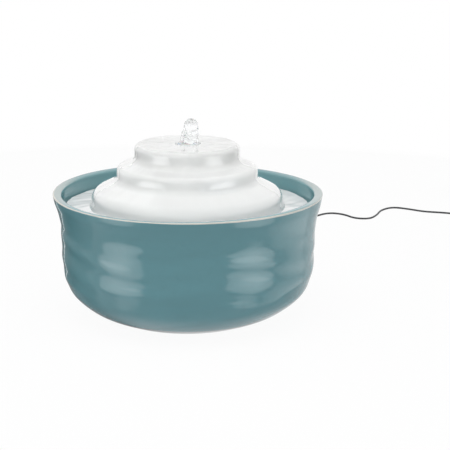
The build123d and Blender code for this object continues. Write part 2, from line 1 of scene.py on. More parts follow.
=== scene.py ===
"""Ceramic pet water fountain: glazes, water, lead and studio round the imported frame.

Metres, +Z up.  The origin is the centre of the fountain's base; the lead leaves at the
back, on the +Y side.  Laid out as an add-on: settings, one operator for each piece or
group of like pieces, and a panel that lists them.
"""

import random
from math import cos, pi, radians, sin, tan

import bmesh
import bpy
import numpy as np
from bpy.props import FloatProperty, FloatVectorProperty, IntProperty, PointerProperty
from mathutils import Matrix, Vector


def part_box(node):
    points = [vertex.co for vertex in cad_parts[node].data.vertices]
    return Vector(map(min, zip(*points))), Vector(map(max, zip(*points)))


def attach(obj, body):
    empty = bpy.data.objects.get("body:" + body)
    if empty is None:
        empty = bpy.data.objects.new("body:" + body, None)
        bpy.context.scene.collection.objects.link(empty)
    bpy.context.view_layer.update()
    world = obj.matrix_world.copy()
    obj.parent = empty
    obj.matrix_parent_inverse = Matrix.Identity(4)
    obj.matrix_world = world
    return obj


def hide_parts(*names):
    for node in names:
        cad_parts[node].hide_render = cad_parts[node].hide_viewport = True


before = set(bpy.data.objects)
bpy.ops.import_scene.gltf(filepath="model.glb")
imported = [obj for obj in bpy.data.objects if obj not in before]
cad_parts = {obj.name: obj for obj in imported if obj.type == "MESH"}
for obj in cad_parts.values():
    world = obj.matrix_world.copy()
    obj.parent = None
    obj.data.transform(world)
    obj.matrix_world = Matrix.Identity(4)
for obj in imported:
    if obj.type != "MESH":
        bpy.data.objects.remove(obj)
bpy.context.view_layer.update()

bl_info = {
    "name": "Ceramic Pet Fountain",
    "version": (1, 0, 0),
    "blender": (4, 5, 0),
    "location": "View3D > Sidebar > Fountain",
    "description": "Builds a tiered ceramic pet fountain with its water, lead and studio",
    "category": "Add Mesh",
}

MM = 0.001
TURN = 2 * pi
SHARP_ANGLE = radians(40)  # edges bent more than this stay crisp
PATCH_BLUR = 0.18  # softness of the patches in a finish


# ---------------- outlines
def smooth_curve(points, steps):
    """Points along a smooth curve that passes through the given (radius, height) points."""
    knots = [2 * Vector(points[0]) - Vector(points[1])]
    knots += [Vector(point) for point in points]
    knots.append(2 * Vector(points[-1]) - Vector(points[-2]))
    curve = []
    for a, b, c, d in zip(knots, knots[1:], knots[2:], knots[3:]):
        for step in range(steps):
            t = step / steps
            curve.append(
                0.5 * (2 * b + (c - a) * t + (2 * a - 5 * b + 4 * c - d) * t**2
                       + (3 * b - a - 3 * c + d) * t**3)
            )
    curve.append(knots[-2])
    return [tuple(point) for point in curve]


def rounded_outline(corners):
    """Straight runs between (radius, height, rounding) corners, joined by tangent arcs."""
    steps, spacing = 10, 2 * MM
    outline = [Vector(corners[0][:2])]
    for before, here, after in zip(corners, corners[1:], corners[2:]):
        corner, rounding = Vector(here[:2]), here[2]
        back = (Vector(before[:2]) - corner).normalized()
        ahead = (Vector(after[:2]) - corner).normalized()
        half = back.angle(ahead) / 2
        centre = corner + (back + ahead).normalized() * rounding / sin(half)
        start = corner + back * rounding / np.tan(half)
        end = corner + ahead * rounding / np.tan(half)
        for step in range(steps + 1):
            along = start.lerp(end, step / steps) - centre
            outline.append(centre + along.normalized() * rounding)
    outline.append(Vector(corners[-1][:2]))
    even = []
    for a, b in zip(outline, outline[1:]):
        pieces = max(1, round((b - a).length / spacing))
        even += [a.lerp(b, piece / pieces) for piece in range(pieces)]
    return [tuple(point) for point in even + [outline[-1]]]


def beside(outline, distance):
    """The outline moved sideways: to its left as it runs for a positive distance."""
    moved = []
    for index, (radius, height) in enumerate(outline):
        a = outline[max(index - 1, 0)]
        b = outline[min(index + 1, len(outline) - 1)]
        along = Vector((b[0] - a[0], b[1] - a[1])).normalized()
        moved.append((radius - along.y * distance, height + along.x * distance))
    return moved


def fade(low, high, value):
    """0 below low, 1 above high and smooth between them."""
    share = np.clip((value - low) / (high - low), 0, 1)
    return share * share * (3 - 2 * share)


# ---------------- meshes
def add_object(name, data):
    """Object of a mesh, curve, lamp or camera, put into the scene."""
    thing = bpy.data.objects.new(name, data)
    bpy.context.scene.collection.objects.link(thing)
    return thing


def shade(mesh):
    """Smooth shading that stays crisp at real edges."""
    mesh.shade_smooth()
    mesh.set_sharp_from_angle(angle=SHARP_ANGLE)


def new_piece(name, vertices, faces, material):
    """Object with a smooth-shaded mesh, its faces turned outward."""
    mesh = bpy.data.meshes.new(name)
    mesh.from_pydata([tuple(vertex) for vertex in vertices], [], faces)
    builder = bmesh.new()
    builder.from_mesh(mesh)
    bmesh.ops.recalc_face_normals(builder, faces=builder.faces)
    builder.to_mesh(mesh)
    builder.free()
    shade(mesh)
    mesh.materials.append(material)
    return add_object(name, mesh)


def flat_sheet(name, half_x, half_y, material, centre=(0, 0, 0)):
    """Level rectangle round centre."""
    x, y, z = centre
    signs = ((-1, -1), (1, -1), (1, 1), (-1, 1))
    corners = [(x + a * half_x, y + b * half_y, z) for a, b in signs]
    return new_piece(name, corners, [[0, 1, 2, 3]], material)


def lathe(name, outline, material, segments, shape, ring=True):
    """Closed form turned round the Z axis.

    outline is a closed loop, or runs from axis to axis with ring=False.
    shape(radius, height, angle) gives each point's moved radius and height, and how far
    it goes to the side, along X.
    """
    angles = np.linspace(0, TURN, segments, endpoint=False)[None, :]
    radius = np.array([point[0] for point in outline])[:, None] + 0 * angles
    height = np.array([point[1] for point in outline])[:, None] + 0 * angles
    radius, height, aside = shape(radius, height, angles + 0 * radius)
    rows, vertices = [], []
    for index in range(len(outline)):
        if outline[index][0] < 1e-6:
            rows.append([len(vertices)] * segments)
            vertices.append((0, 0, height[index, 0]))
            continue
        rows.append(list(range(len(vertices), len(vertices) + segments)))
        xs = radius[index] * np.cos(angles[0]) + aside[index]
        ys = radius[index] * np.sin(angles[0])
        vertices += list(zip(xs, ys, height[index]))
    faces = []
    pairs = list(zip(rows, rows[1:])) + ([(rows[-1], rows[0])] if ring else [])
    for low, high in pairs:
        for here in range(segments):
            there = (here + 1) % segments
            face = [low[here], low[there], high[there], high[here]]
            faces.append(list(dict.fromkeys(face)))
    return new_piece(name, vertices, faces, material)


def apply_modifiers(piece):
    """Give the piece the mesh that its modifiers make, and drop them."""
    bpy.context.view_layer.update()
    evaluated = piece.evaluated_get(bpy.context.evaluated_depsgraph_get())
    mesh = bpy.data.meshes.new_from_object(evaluated)
    mesh.name = piece.data.name
    piece.modifiers.clear()
    piece.data = mesh


def carve(piece, cutters):
    """Cut the cutters out of the piece and delete them."""
    for cutter in cutters:
        cut = piece.modifiers.new("cut", "BOOLEAN")
        cut.operation = "DIFFERENCE"
        cut.solver = "EXACT"
        cut.object = cutter
    apply_modifiers(piece)
    for cutter in cutters:
        bpy.data.objects.remove(cutter)
    shade(piece.data)


def notch_outline(half, middle, far):
    """Slot that comes in from far and ends in a half circle round middle, along Y."""
    bend = np.linspace(-pi, 0, 17)
    end = [(half * cos(a), middle + half * sin(a)) for a in bend]
    return [(half, far), (-half, far)] + end


def prism(name, outline, depth, place):
    """Straight block of an (x, y) outline, depth long, set by the matrix place."""
    count = len(outline)
    vertices = [place @ Vector((x, y, 0)) for x, y in outline]
    vertices += [place @ Vector((x, y, depth)) for x, y in outline]
    faces = [list(range(count)), list(range(count, 2 * count))]
    for here in range(count):
        there = (here + 1) % count
        faces.append([here, there, count + there, count + here])
    return new_piece(name, vertices, faces, None)


def drop_shape(mesh_builder, centre, radius, flip=False, detail=3):
    """Add a ball to the mesh being built, inside out for a bubble."""
    made = bmesh.ops.create_icosphere(
        mesh_builder, subdivisions=detail, radius=radius, matrix=Matrix.Translation(centre)
    )
    if flip:
        faces = {face for vertex in made["verts"] for face in vertex.link_faces}
        bmesh.ops.reverse_faces(mesh_builder, faces=list(faces))


# ---------------- materials
class NodeWork:
    """Shorter ways to add nodes to a shader tree and link them."""

    def __init__(self, tree):
        self.tree = tree
        self.nodes = tree.nodes

    def link(self, source, target):
        """Join an output socket to an input socket."""
        self.tree.links.new(source, target)

    def grade(self, source, low, high, bottom=0.0, top=1.0, smooth=True):
        """Map a value from low..high to bottom..top."""
        grade = self.nodes.new("ShaderNodeMapRange")
        grade.interpolation_type = "SMOOTHSTEP" if smooth else "LINEAR"
        for socket, value in zip((1, 2, 3, 4), (low, high, bottom, top)):
            grade.inputs[socket].default_value = value
        self.link(source, grade.inputs[0])
        return grade.outputs[0]

    def step(self, source, middle, blur, up=True):
        """0 below middle and 1 above it, or the other way, blurred to both sides."""
        ends = (0, 1) if up else (1, 0)
        return self.grade(source, middle - blur, middle + blur, *ends)

    def maths(self, operation, first, second=0):
        """Arithmetic on two sockets or numbers."""
        node = self.nodes.new("ShaderNodeMath")
        node.operation = operation
        for socket, value in zip(node.inputs, (first, second)):
            if isinstance(value, (int, float)):
                socket.default_value = value
            else:
                self.link(value, socket)
        return node.outputs[0]

    def vector(self, operation, source, value=(0, 0, 0)):
        """Arithmetic on a vector socket and a fixed vector."""
        node = self.nodes.new("ShaderNodeVectorMath")
        node.operation = operation
        self.link(source, node.inputs[0])
        node.inputs[1].default_value = value
        return node.outputs["Value" if operation == "LENGTH" else "Vector"]


class Finish(NodeWork):
    """A material with one Principled shader and nodes for its variation."""

    def __init__(self, name, colour, roughness=0.5, **sockets):
        self.material = bpy.data.materials.new(name)
        self.material.use_nodes = True
        super().__init__(self.material.node_tree)
        self.shader = self.nodes["Principled BSDF"]
        self.colour = tuple(colour)[:3]
        self.shader.inputs["Base Color"].default_value = (*self.colour, 1)
        self.shader.inputs["Roughness"].default_value = roughness
        for socket, value in sockets.items():
            self.shader.inputs[socket.replace("_", " ")].default_value = value
        self.place = self.nodes.new("ShaderNodeTexCoord").outputs["Object"]
        self.bump = None

    def texture(self, kind, scale, stretch=(1, 1, 1), **sockets):
        """A procedural texture; stretch scales its grid along each axis."""
        mapping = self.nodes.new("ShaderNodeMapping")
        mapping.inputs["Scale"].default_value = stretch
        self.link(self.place, mapping.inputs["Vector"])
        texture = self.nodes.new(kind)
        texture.inputs["Scale"].default_value = scale
        for socket, value in sockets.items():
            texture.inputs[socket.replace("_", " ")].default_value = value
        self.link(mapping.outputs["Vector"], texture.inputs["Vector"])
        return texture

    def noise(self, scale, stretch=(1, 1, 1), detail=3.0):
        """Soft random values about 0.5, as a socket."""
        return self.texture("ShaderNodeTexNoise", scale, stretch, Detail=detail).outputs[0]

    def along(self, axis):
        """One coordinate of the surface point, as a socket."""
        parts = self.nodes.new("ShaderNodeSeparateXYZ")
        self.link(self.place, parts.inputs[0])
        return parts.outputs[axis]

    def reach(self, centre=(0, 0, 0)):
        """Distance from the upright line through centre, as a socket."""
        offset = self.vector("SUBTRACT", self.place, centre)
        return self.vector("LENGTH", self.vector("MULTIPLY", offset, (1, 1, 0)))

    def tint(self, share, colour):
        """Mix another colour over the base where share is high."""
        mix = self.nodes.new("ShaderNodeMix")
        mix.data_type = "RGBA"
        base = self.shader.inputs["Base Color"]
        if base.is_linked:
            self.link(base.links[0].from_socket, mix.inputs[6])
        else:
            mix.inputs[6].default_value = (*self.colour, 1)
        mix.inputs[7].default_value = (*tuple(colour)[:3], 1)
        self.link(share, mix.inputs[0])
        self.link(mix.outputs[2], base)

    def mottle(self, scale, share=0.5, depth=0.12, stretch=(1, 1, 1), darker=True):
        """Soft uneven patches, a little darker or lighter than the base."""
        factor = 1 - depth if darker else 1 + depth
        colour = [min(channel * factor, 1) for channel in self.colour]
        self.tint(self.step(self.noise(scale, stretch), share, PATCH_BLUR), colour)

    def polish(self, scale, low, high, stretch=(1, 1, 1)):
        """Roughness that wanders between low and high."""
        rough = self.grade(self.noise(scale, stretch, 4.0), 0.3, 0.7, low, high)
        self.link(rough, self.shader.inputs["Roughness"])

    def relief(self, source, depth):
        """Surface relief from a value, depth metres from 0 to 1; it adds to any before."""
        bump = self.nodes.new("ShaderNodeBump")
        bump.inputs["Strength"].default_value = 1.0
        bump.inputs["Distance"].default_value = depth
        self.link(source, bump.inputs["Height"])
        if self.bump is not None:
            self.link(self.bump.outputs[0], bump.inputs["Normal"])
        self.bump = bump
        self.link(bump.outputs[0], self.shader.inputs["Normal"])

    def grain(self, scale, depth, stretch=(1, 1, 1), detail=4.0):
        """Fine relief of a moulded, cast or ground surface."""
        self.relief(self.noise(scale, stretch, detail), depth)

    def mix_shaders(self, share, low, high):
        """Show shader node low where share is 0 and shader node high where it is 1."""
        mix = self.nodes.new("ShaderNodeMixShader")
        self.link(share, mix.inputs[0])
        self.link(low.outputs[0], mix.inputs[1])
        self.link(high.outputs[0], mix.inputs[2])
        self.link(mix.outputs[0], self.nodes["Material Output"].inputs["Surface"])


# Where the glazes change: the bowl's radius inside the lip, the height of its ledge, how
# far out to the sides its rim carries a painted highlight, the height of its bare foot, and
# the heights over which painted shade greys the dome's top tier.
INSIDE_LIP = 127.4 * MM
LEDGE = 104 * MM
HIGHLIGHT_SIDES = (108 * MM, 131 * MM)
BARE_FOOT = 1.2 * MM
TOP_TIER = (140 * MM, 168 * MM)


def teal_glaze(settings):
    """Gloss teal glaze that breaks to cream at the rim, stops above the bare foot and has a
    painted highlight on the rim's sides.
    """
    glaze = Finish("glaze_teal", settings.glaze, 0.07)
    glaze.mottle(16, 0.55, 0.05, (1, 1, 2.2))
    glaze.mottle(160, 0.62, 0.035)
    radius = glaze.reach((settings.aside, 0, 0))
    height = glaze.along("Z")
    wander = glaze.noise(45, detail=2.0)
    wobble = glaze.maths("MULTIPLY", glaze.maths("SUBTRACT", wander, 0.5), 0.9 * MM)
    edge = glaze.maths("ADD", height, wobble)
    low, inner = settings.rim_line_low, settings.rim_line_inner
    top = glaze.step(edge, low, 0.6 * MM)
    inside = glaze.step(radius, INSIDE_LIP, 0.4 * MM, up=False)
    inside = glaze.maths("MULTIPLY", inside, glaze.step(height, LEDGE, 1 * MM))
    # Paler glaze on the rim top and the inner wall; on the inner wall part of the paleness
    # is painted reflection.
    glaze.tint(glaze.maths("MAXIMUM", top, inside), settings.rim_glaze_and_reflection)
    # Pale band on the rim's top towards the far left and right: painted highlight.
    to_side = glaze.grade(glaze.maths("ABSOLUTE", glaze.along("X")), *HIGHLIGHT_SIDES)
    glaze.tint(glaze.maths("MULTIPLY", top, to_side), settings.rim_side_highlight)
    above, outside = glaze.step(edge, low, 0.35 * MM), glaze.step(radius, inner, 0.4 * MM)
    glaze.tint(glaze.maths("MULTIPLY", above, outside), settings.rim_line)
    glaze.tint(glaze.step(edge, BARE_FOOT, 0.2 * MM, up=False), settings.bisque)
    glaze.grain(240, 0.03 * MM, detail=2.0)
    glaze.grain(1400, 0.004 * MM)
    return glaze.material


def white_glaze(settings):
    """Gloss white glaze, greyer towards the top tier: painted shade."""
    glaze = Finish("glaze_white", settings.glaze, 0.12)
    # Greyer towards the top tier: painted shade.
    glaze.tint(glaze.grade(glaze.along("Z"), *TOP_TIER), settings.top_tier_shade)
    glaze.mottle(22, 0.5, 0.02)
    glaze.mottle(220, 0.66, 0.025)
    glaze.grain(180, 0.03 * MM, detail=2.0)
    return glaze.material


def clear_water(settings, name="water", gloss=0.0, clear=1.0):
    """Clear or slightly milky water that lets the lamps through to what is under it."""
    water = Finish(
        name, settings.tint, 0.0, IOR=1.33, Transmission_Weight=clear, Coat_Weight=gloss,
        Coat_Roughness=0.0,
    )
    water.grain(420, 0.02 * MM, detail=1.0)
    rays = water.nodes.new("ShaderNodeLightPath")
    open_side = water.nodes.new("ShaderNodeBsdfTransparent")
    water.mix_shaders(rays.outputs["Is Shadow Ray"], water.shader, open_side)
    return water.material


def moulded(name, colour, roughness, scale=900, depth=0.02 * MM):
    """Moulded plastic with a fine eroded texture and slight wear."""
    plastic = Finish(name, colour, roughness)
    plastic.mottle(70, 0.55, 0.15)
    plastic.polish(120, roughness - 0.06, roughness + 0.08)
    plastic.grain(scale, depth)
    return plastic.material


def soft_rubber(name, colour):
    """Matt rubber with dusty patches."""
    rubber = Finish(name, colour, 0.6)
    rubber.mottle(90, 0.55, 0.35, darker=False)
    rubber.grain(1100, 0.02 * MM)
    return rubber.material


def clear_silicone(name, colour):
    """Milky silicone tube."""
    silicone = Finish(name, colour, 0.28, Subsurface_Weight=0.4, Subsurface_Scale=2 * MM)
    silicone.mottle(60, 0.5, 0.06)
    silicone.grain(500, 0.02 * MM)
    return silicone.material


def laminated_core(name, colour):
    """Stacked steel sheets, 0.5 mm thick along the shaft."""
    core = Finish(name, colour, 0.35, Metallic=0.9)
    sheets = core.texture("ShaderNodeTexWave", 320, (0, 1, 0))
    sheets.bands_direction = "Y"
    core.tint(core.grade(sheets.outputs["Fac"], 0.1, 0.35, 1, 0), [0.12, 0.11, 0.11])
    core.relief(sheets.outputs["Fac"], 0.05 * MM)
    core.mottle(150, 0.6, 0.3)
    return core.material


def wound_copper(name, colour):
    """Enamelled wire laid side by side round each tooth."""
    copper = Finish(name, colour, 0.28, Metallic=0.85, Coat_Weight=0.4)
    wires = copper.texture("ShaderNodeTexWave", 620, (1, 0.04, 1))
    wires.wave_type = "RINGS"
    # Darker copper in the grooves between the wires: painted shade.
    copper.tint(copper.grade(wires.outputs["Fac"], 0.0, 0.3, 1, 0), [0.16, 0.05, 0.02])
    copper.relief(wires.outputs["Fac"], 0.12 * MM)
    return copper.material


def printed_board(name, colour):
    """Solder mask over copper tracks, with bright pads."""
    board = Finish(name, colour, 0.35, Coat_Weight=0.3)
    tracks = board.texture("ShaderNodeTexBrick", 330, Mortar_Size=0.05)
    board.tint(board.grade(tracks.outputs["Fac"], 0.4, 0.6, 0, 0.6), [0.06, 0.36, 0.14])
    pads = board.texture("ShaderNodeTexVoronoi", 300)
    board.tint(board.grade(pads.outputs["Distance"], 0.1, 0.14, 1, 0), [0.72, 0.7, 0.66])
    board.grain(700, 0.02 * MM)
    return board.material


def open_foam(name, colour, scale, depth):
    """Open-cell foam or granular felt."""
    foam = Finish(name, colour, 0.95)
    cells = foam.texture("ShaderNodeTexVoronoi", scale)
    # Near-black centres of the cells: painted shade in the pores.
    foam.tint(foam.grade(cells.outputs["Distance"], 0.05, 0.5, 1, 0), [0.005, 0.005, 0.006])
    foam.relief(cells.outputs["Distance"], depth)
    foam.grain(scale * 2.3, depth / 3)
    return foam.material


def ground_ceramic(name, colour, roughness):
    """Hard fired part with grinding marks round the shaft."""
    hard = Finish(name, colour, roughness)
    hard.mottle(260, 0.6, 0.18)
    hard.grain(500, 0.01 * MM, (1, 9, 1))
    return hard.material


def plated_pin(name, colour):
    """Bright plating with fine draw marks along the pin."""
    pin = Finish(name, colour, 0.16, Metallic=1.0)
    pin.polish(400, 0.1, 0.28, (1, 0.05, 1))
    pin.grain(900, 0.005 * MM, (1, 0.05, 1))
    return pin.material


def lead_jacket(settings):
    """Dark grey flexible jacket with a faint sheen."""
    jacket = Finish("lead_jacket", settings.jacket, 0.42)
    jacket.mottle(140, 0.55, 0.25, darker=False)
    jacket.grain(900, 0.015 * MM)
    return jacket.material


def dress(nodes, material):
    """Give carried-over pieces their finish."""
    for name in nodes:
        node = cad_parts[name]
        if not node.material_slots:
            node.data.materials.append(material)
        for material_slot in node.material_slots:
            material_slot.material = material


# ---------------- settings
def length(name, description, default):
    """A length setting in metres."""
    return FloatProperty(
        name=name, description=description, default=default, unit="LENGTH", precision=5
    )


def colour(name, description, default):
    """A colour setting, as linear red, green and blue."""
    return FloatVectorProperty(
        name=name, description=description, default=default, subtype="COLOR", size=3,
        min=0, max=1,
    )


class BowlSettings(bpy.types.PropertyGroup):
    """Sizes and colours of the thrown bowl."""

    lip_radius: length("Lip radius", "Outside of the rim", 134.4 * MM)
    lip_edge: length("Lip edge", "Height of the rim's outer edge", 127.2 * MM)
    lip_top: length("Lip top", "Height of the rim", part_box("bowl")[1].z - 0.6 * MM)
    aside: length("Offset", "How far the wall stands to the side of the foot", 1.0 * MM)
    warp: length("Warp", "How far the rim waves up and down", 0.7 * MM)
    ripple_depth: length("Ripple depth", "Depth of the throwing marks", 0.36 * MM)
    ripple_pitch: length("Ripple pitch", "Height from mark to mark", 22.5 * MM)
    ripple_crest: length("Ripple crest", "Height of one crest", 63.5 * MM)
    notch_width: length("Notch width", "Notch for the lead's sleeve", 8 * MM)
    rim_line_low: length("Rim line bottom", "Lower edge of the cream line", 126.7 * MM)
    rim_line_inner: length("Rim line inside", "Inner radius of the cream line", 133.6 * MM)
    glaze: colour("Glaze", "Teal glaze", (0.103, 0.268, 0.305))
    rim_line: colour("Rim line", "Clay that shows at the rim", (0.72, 0.70, 0.64))
    # Paler glaze of the rim and inner wall, partly painted reflection inside.
    rim_glaze_and_reflection: colour("Rim glaze and reflection", "Paler glaze on the rim and inside, partly painted reflection", (0.18, 0.36, 0.39))
    # Colour of the painted highlight on the rim's far left and right.
    rim_side_highlight: colour("Painted light", "Painted highlight on the rim's sides", (0.42, 0.5, 0.49))
    bisque: colour("Bare clay", "Unglazed foot ring", (0.62, 0.55, 0.45))


class DomeSettings(bpy.types.PropertyGroup):
    """Sizes and colour of the tiered dome."""

    wall: length("Wall", "Thickness of the shell", 5 * MM)
    wobble: length("Wobble", "How far the tiers are out of round", 0.35 * MM)
    notch_width: length("Notch width", "Notch that clears the lead", 9 * MM)
    notch_depth_radius: length("Notch end", "Radius of the notch's inner end", 107 * MM)
    drain_radius: length("Drain radius", "Circle of the drain slots", 110 * MM)
    drain_width: length("Drain width", "Width of a drain slot", 3.6 * MM)
    glaze: colour("Glaze", "White glaze", (0.95, 0.95, 0.935))
    # Colour of the painted shade on the top tier.
    top_tier_shade: colour("Painted light", "Painted shade on the top tier's glaze", (0.69, 0.69, 0.66))


class WaterSettings(bpy.types.PropertyGroup):
    """The film over the dome, the trough and the jet."""

    film: length("Film", "Thickness of the film on the tiers", 0.8 * MM)
    film_ripple: length("Film ripple", "Unevenness of the film", 0.13 * MM)
    trough_depth: length("Trough depth", "Depth of water on the brim", 3.2 * MM)
    trough_ripple: length("Trough ripple", "Waves on the trough", 0.45 * MM)
    bubbles: IntProperty(name="Bubbles", description="Air bubbles in the jet", default=12)
    tint: colour("Tint", "Colour of the water", (0.985, 0.995, 1.0))


class LeadSettings(bpy.types.PropertyGroup):
    """The low-voltage lead and its adapter."""

    diameter: length("Diameter", "Thickness of the lead", 2.4 * MM)
    total: length("Length", "Lead from the rim to the adapter", 2.0)
    jacket: colour("Jacket", "Dark grey jacket", (0.035, 0.036, 0.04))
    adapter: colour("Adapter", "Adapter's plastic", (0.022, 0.022, 0.024))


class PumpSettings(bpy.types.PropertyGroup):
    """Colours of the pump's parts."""

    casing: colour("Casing", "Pump casing", (0.022, 0.022, 0.026))
    strainer: colour("Strainer", "Strainer cap", (0.04, 0.042, 0.048))
    regulator: colour("Regulator", "Flow regulator", (0.32, 0.33, 0.35))
    rotor: colour("Rotor", "Impeller", (0.62, 0.62, 0.6))
    silicone: colour("Silicone", "Riser tube", (0.72, 0.74, 0.74))
    rubber: colour("Rubber", "Feet, cups and seals", (0.025, 0.025, 0.025))


class StudioSettings(bpy.types.PropertyGroup):
    """Camera, lamps and floor."""

    eye_distance: length("Eye distance", "Camera in front of the fountain", 1.3652)
    eye_height: length("Eye height", "Camera above the floor", 0.4358)
    lens: FloatProperty(name="Lens", description="Focal length in mm", default=112.0)
    floor: colour("Floor", "Pale floor", (0.96, 0.96, 0.96))


# ---------------- bowl
def bowl_outline(settings):
    """Bowl from the centre of its underside, up the outside and down to its floor."""
    lip, edge = settings.lip_radius / MM, settings.lip_edge / MM
    top = settings.lip_top / MM
    foot = [(0, 3.8), (30, 3.8), (56.6, 3.8), (57, 3.4), (57, 0.9), (57.4, 0.8)]
    belly = [(70.5, 1.2), (80, 4.6), (99.3, 13.5), (116.1, 27.4), (122.7, 39.7)]
    belly += [(125.5, 51), (126.3, 62), (126.7, 74), (127.1, 86), (127.6, 97)]
    belly += [(129.2, 106), (131.0, 113), (133.1, 120), (lip, edge)]
    rim = [(lip, edge), (lip - 0.35, top - 0.3), (lip - 1.3, top), (lip - 2.6, top)]
    rim += [(lip - 5.2, top - 0.3), (lip - 7.3, top - 0.7), (lip - 8.3, top - 1.4)]
    rim += [(lip - 8.7, top - 2.6)]
    seat = [(125.4, 121.0), (124.8, 116.0), (124.2, 110.0), (123.6, 106), (123.4, 104.3)]
    seat += [(121, 104.3), (118.4, 104.3), (118.2, 104.0), (118.2, 96)]
    inside = [(118.2, 84), (118.0, 72), (117, 54), (111, 36), (98.5, 21), (82, 11.5)]
    inside += [(62, 9), (30, 9), (0, 9)]
    outline = foot + [(68.5, 0.8)]
    for stretch, steps in (
        (belly, 10),
        (rim, 4),
        ([rim[-1]] + seat[:5], 3),
        (seat[4:], 1),
        ([seat[-1]] + inside, 4),
    ):
        outline += smooth_curve(stretch, steps)[:-1]
    outline.append(inside[-1])
    outline = list(dict.fromkeys((round(r, 4), round(z, 4)) for r, z in outline))
    return [(r * MM, z * MM) for r, z in outline]


# How the marks' height wanders round the bowl: start, then cosine and sine by order.
MARKS_START = 0.91
MARKS_WANDER = ((0.46, -1.10), (-0.14, 0.12), (0.21, -0.46), (-0.12, -1.25))
# Heights between which the marks grow and fade, the wall leans and the lip waves.
MARKS_GROW = (30 * MM, 46 * MM)
MARKS_FADE = (90 * MM, 106 * MM)
LEAN_GROW = (10 * MM, 40 * MM)
LIP_GROW = (112 * MM, 126 * MM)
INSIDE_RADIUS = 118.5 * MM  # nearer the axis than this, no marks show


def throwing_marks(settings, height, angle):
    """How far the potter's ripples push the bowl's outer wall out, at each point."""
    turn = TURN * (height - settings.ripple_crest) / settings.ripple_pitch
    wander = MARKS_START + 0 * angle
    for order, (cosine, sine) in enumerate(MARKS_WANDER, 1):
        wander = wander + cosine * np.cos(order * angle) + sine * np.sin(order * angle)
    marks = np.cos(turn + wander) + 0.15 * np.cos(0.6 * turn - 3 * angle + 1.0)
    marks += 0.2 * np.cos(1.6 * turn + 9 * angle + 2.0)
    marks += 0.25 * np.cos(0.5 * turn - 14 * angle)
    strength = fade(*MARKS_GROW, height) * (1 - fade(*MARKS_FADE, height))
    return settings.ripple_depth * marks * strength


class FOUNTAIN_OT_bowl(bpy.types.Operator):
    """Thrown bowl with its ripples, rim line, seat for the dome and notch for the lead"""

    bl_idname = "fountain.bowl"
    bl_label = "Bowl"

    def execute(self, context):
        settings = context.scene.fountain_bowl

        def thrown(radius, height, angle):
            wall = radius > INSIDE_RADIUS
            marks = np.where(wall, throwing_marks(settings, height, angle), 0)
            crest = np.argmax(height[:, 0])
            outer = np.arange(len(height))[:, None] <= crest
            lip = fade(*LIP_GROW, height)
            aside = np.where(outer, fade(*LEAN_GROW, height) - 0.5 * lip, 0.5 * lip)
            dip = settings.warp * lip * np.sin(2 * angle)
            return radius + marks, height - dip, settings.aside * aside

        glaze = teal_glaze(settings)
        bowl = lathe("bowl_glazed", bowl_outline(settings), glaze, 288, thrown, ring=False)
        carve(bowl, [self.notch(settings)])
        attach(bowl, "base")
        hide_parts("bowl")
        pads = soft_rubber("foot_rubber", context.scene.fountain_pump.rubber)
        dress(["foot_pads"], pads)
        return {"FINISHED"}

    def notch(self, settings):
        """Cutter for the half-round notch in the back of the rim."""
        outline = notch_outline(settings.notch_width / 2, 0, 20 * MM)
        place = Matrix.Translation((0, 118.4 * MM, LEAD_Z * MM))
        place = place @ Matrix.Rotation(pi / 2, 4, "X") @ Matrix.Scale(-1, 4, (0, 0, 1))
        return prism("notch_cutter", outline, 25 * MM, place)


# ---------------- dome
# Corners of the dome's outside, from its hole outward, in millimetres: radius, height
# from the top, rounding.
DOME_TIERS = (
    (7.5, 0, 0), (51.5, 0, 4.2), (51, -16.9, 7), (68.9, -22.0, 6), (70.1, -35.6, 7.5),
    (94.2, -47.0, 12), (95.8, -64.7, 8),
)
HOLLOW = 90.5 * MM  # radius of the hollow at the brim's underside
PAST_BRIM = 130 * MM  # a radius outside the brim
CUT_START, CUT_DEPTH = 5 * MM, 20 * MM  # cutters start this far under the brim
DRAINS, DRAIN_HALF = (-112, -68, 68, 112), 8  # middles and half length, in degrees
# Heights and radii between which the tiers start to be out of round.
WOBBLE_UP = (109 * MM, 116 * MM)
WOBBLE_OUT = (20 * MM, 45 * MM)


def dome_corners():
    """The dome's corners, and its brim's edge, in metres."""
    _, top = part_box("dome")
    corners = [(reach * MM, top.z + drop * MM, round_off * MM)
               for reach, drop, round_off in DOME_TIERS]
    return corners + [(top.x, corners[-1][1], 0)]


